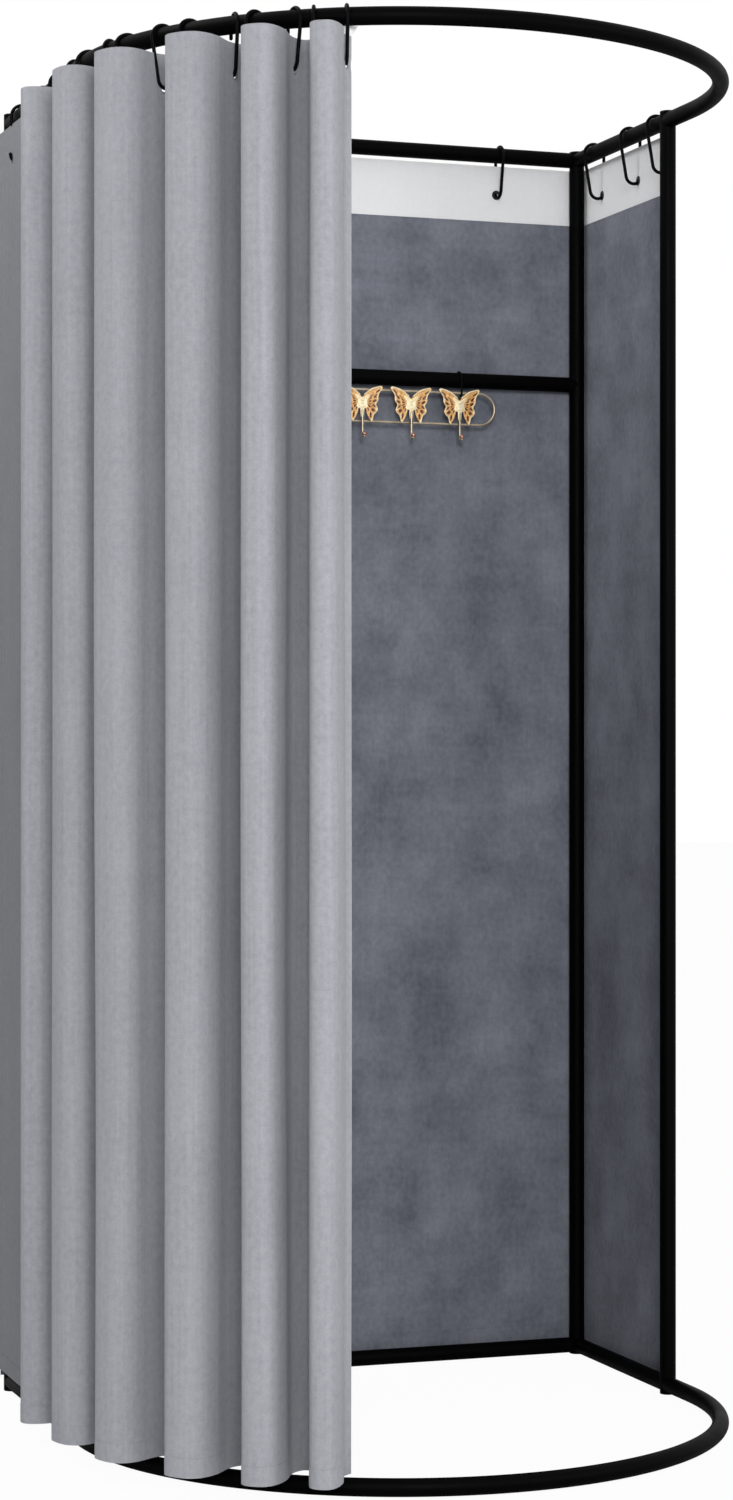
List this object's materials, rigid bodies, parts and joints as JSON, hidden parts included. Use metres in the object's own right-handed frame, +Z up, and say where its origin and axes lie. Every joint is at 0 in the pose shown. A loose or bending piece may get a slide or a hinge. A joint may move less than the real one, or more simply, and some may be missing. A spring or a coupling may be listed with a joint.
{
  "type": "portable fitting room",
  "caption": "Free-standing fitting room: D-shaped frame of black tube, hung fabric walls, a curtain that runs round the bowed front, and a rack of ornamental hooks on a crossbar.",
  "frame": {"origin": "on the floor, at the centre of the footprint's box", "axes": "+Z up, -Y towards the bowed front, +X to the right as seen from the front"},
  "size_m": [1.0557, 0.9646, 2.0035],
  "materials": {
    "black_tube": "black powder coat with a soft sheen",
    "black_plastic": "matte moulded plastic",
    "black_wire": "black lacquered wire",
    "curtain_cloth": "light grey woven cloth, matt",
    "wall_cloth": "slate grey coated cloth, matt",
    "header_tape": "off-white woven header tape",
    "eyelet_metal": "dull pressed eyelet",
    "gold_metal": "warm plated wire and stampings",
    "amber_enamel": "amber enamel with paler edges",
    "cream_enamel": "cream enamel"
  },
  "bodies": {
    "frame": {"post_front_left": "black_tube", "cap_front_left": "black_plastic", "foot_front_left": "black_plastic", "post_front_right": "black_tube", "cap_front_right": "black_plastic", "foot_front_right": "black_plastic", "post_back_left": "black_tube", "cap_back_left": "black_plastic", "foot_back_left": "black_plastic", "post_back_right": "black_tube", "cap_back_right": "black_plastic", "foot_back_right": "black_plastic", "bottom_front_bow": "black_tube", "bottom_back_rail": "black_tube", "bottom_left_rail": "black_tube", "bottom_right_rail": "black_tube", "top_front_bow": "black_tube", "top_back_rail": "black_tube", "top_left_rail": "black_tube", "top_right_rail": "black_tube", "crossbar": "black_tube", "wall_sheet_back": "wall_cloth", "wall_hook_back_1": "black_wire", "wall_hook_back_2": "black_wire", "wall_hook_back_3": "black_wire", "wall_sheet_left": "wall_cloth", "wall_hook_left_1": "black_wire", "wall_hook_left_2": "black_wire", "wall_hook_left_3": "black_wire", "wall_sheet_right": "wall_cloth", "wall_hook_right_1": "black_wire", "wall_hook_right_2": "black_wire", "wall_hook_right_3": "black_wire", "curtain_hook_01": "black_wire", "curtain_fold_1": "curtain_cloth"},
    "carrier_01": {"curtain_hook_02": "black_wire", "curtain_fold_2": "curtain_cloth"},
    "carrier_02": {"curtain_hook_03": "black_wire"},
    "carrier_03": {"curtain_hook_04": "black_wire", "curtain_fold_3": "curtain_cloth"},
    "carrier_04": {"curtain_hook_05": "black_wire"},
    "carrier_05": {"curtain_hook_06": "black_wire", "curtain_fold_4": "curtain_cloth"},
    "carrier_06": {"curtain_hook_07": "black_wire"},
    "carrier_07": {"curtain_hook_08": "black_wire", "curtain_fold_5": "curtain_cloth"},
    "carrier_08": {"curtain_hook_09": "black_wire"},
    "carrier_09": {"curtain_hook_10": "black_wire", "curtain_fold_6": "curtain_cloth"},
    "carrier_10": {"curtain_hook_11": "black_wire"},
    "rack_hangers": {"rack_hanger_left": "black_wire", "rack_hanger_right": "black_wire"},
    "hook_rack": {"rack_loop": "gold_metal", "rack_butterfly_1": "gold_metal", "rack_butterfly_2": "gold_metal", "rack_butterfly_3": "gold_metal", "rack_butterfly_4": "gold_metal", "rack_butterfly_5": "gold_metal", "rack_butterfly_6": "gold_metal", "rack_butterfly_7": "gold_metal"}
  },
  "joints": [
    {"name": "curtain_run_01", "type": "hinge", "parent": "frame", "child": "carrier_01", "pos_m": [0.02655, 0.01275, 1.9855], "axis": [0, 0, 1], "range_deg": [-1, 11.7], "deforming": ["curtain_fold_1", "curtain_fold_2", "curtain_fold_3", "curtain_fold_4", "curtain_fold_5", "curtain_fold_6"]},
    {"name": "curtain_run_02", "type": "hinge", "parent": "carrier_01", "child": "carrier_02", "pos_m": [0.02655, 0.01275, 1.9855], "axis": [0, 0, 1], "range_deg": [-1, 11.7]},
    {"name": "curtain_run_03", "type": "hinge", "parent": "carrier_02", "child": "carrier_03", "pos_m": [0.02655, 0.01275, 1.9855], "axis": [0, 0, 1], "range_deg": [-1, 11.7]},
    {"name": "curtain_run_04", "type": "hinge", "parent": "carrier_03", "child": "carrier_04", "pos_m": [0.02655, 0.01275, 1.9855], "axis": [0, 0, 1], "range_deg": [-1, 11.7]},
    {"name": "curtain_run_05", "type": "hinge", "parent": "carrier_04", "child": "carrier_05", "pos_m": [0.02655, 0.01275, 1.9855], "axis": [0, 0, 1], "range_deg": [-1, 11.7]},
    {"name": "curtain_run_06", "type": "hinge", "parent": "carrier_05", "child": "carrier_06", "pos_m": [0.02655, 0.01275, 1.9855], "axis": [0, 0, 1], "range_deg": [-1, 11.7]},
    {"name": "curtain_run_07", "type": "hinge", "parent": "carrier_06", "child": "carrier_07", "pos_m": [0.02655, 0.01275, 1.9855], "axis": [0, 0, 1], "range_deg": [-1, 11.7]},
    {"name": "curtain_run_08", "type": "hinge", "parent": "carrier_07", "child": "carrier_08", "pos_m": [0.02655, 0.01275, 1.9855], "axis": [0, 0, 1], "range_deg": [-1, 11.7]},
    {"name": "curtain_run_09", "type": "hinge", "parent": "carrier_08", "child": "carrier_09", "pos_m": [0.02655, 0.01275, 1.9855], "axis": [0, 0, 1], "range_deg": [-1, 11.7]},
    {"name": "curtain_run_10", "type": "hinge", "parent": "carrier_09", "child": "carrier_10", "pos_m": [0.02655, 0.01275, 1.9855], "axis": [0, 0, 1], "range_deg": [-1, 11.7]},
    {"name": "rack_slide", "type": "slide", "parent": "frame", "child": "rack_hangers", "axis": [1, 0, 0], "range_m": [-0.15, 0.125]},
    {"name": "rack_swing", "type": "hinge", "parent": "rack_hangers", "child": "hook_rack", "pos_m": [0.03855, 0.44819, 1.59], "axis": [-1, 0, 0], "range_deg": [-18, 25]}
  ],
  "couplings": [
    {"joint": "curtain_run_02", "follows": "curtain_run_01", "ratio": 1},
    {"joint": "curtain_run_03", "follows": "curtain_run_01", "ratio": 1},
    {"joint": "curtain_run_04", "follows": "curtain_run_01", "ratio": 1},
    {"joint": "curtain_run_05", "follows": "curtain_run_01", "ratio": 1},
    {"joint": "curtain_run_06", "follows": "curtain_run_01", "ratio": 1},
    {"joint": "curtain_run_07", "follows": "curtain_run_01", "ratio": 1},
    {"joint": "curtain_run_08", "follows": "curtain_run_01", "ratio": 1},
    {"joint": "curtain_run_09", "follows": "curtain_run_01", "ratio": 1},
    {"joint": "curtain_run_10", "follows": "curtain_run_01", "ratio": 1}
  ]
}
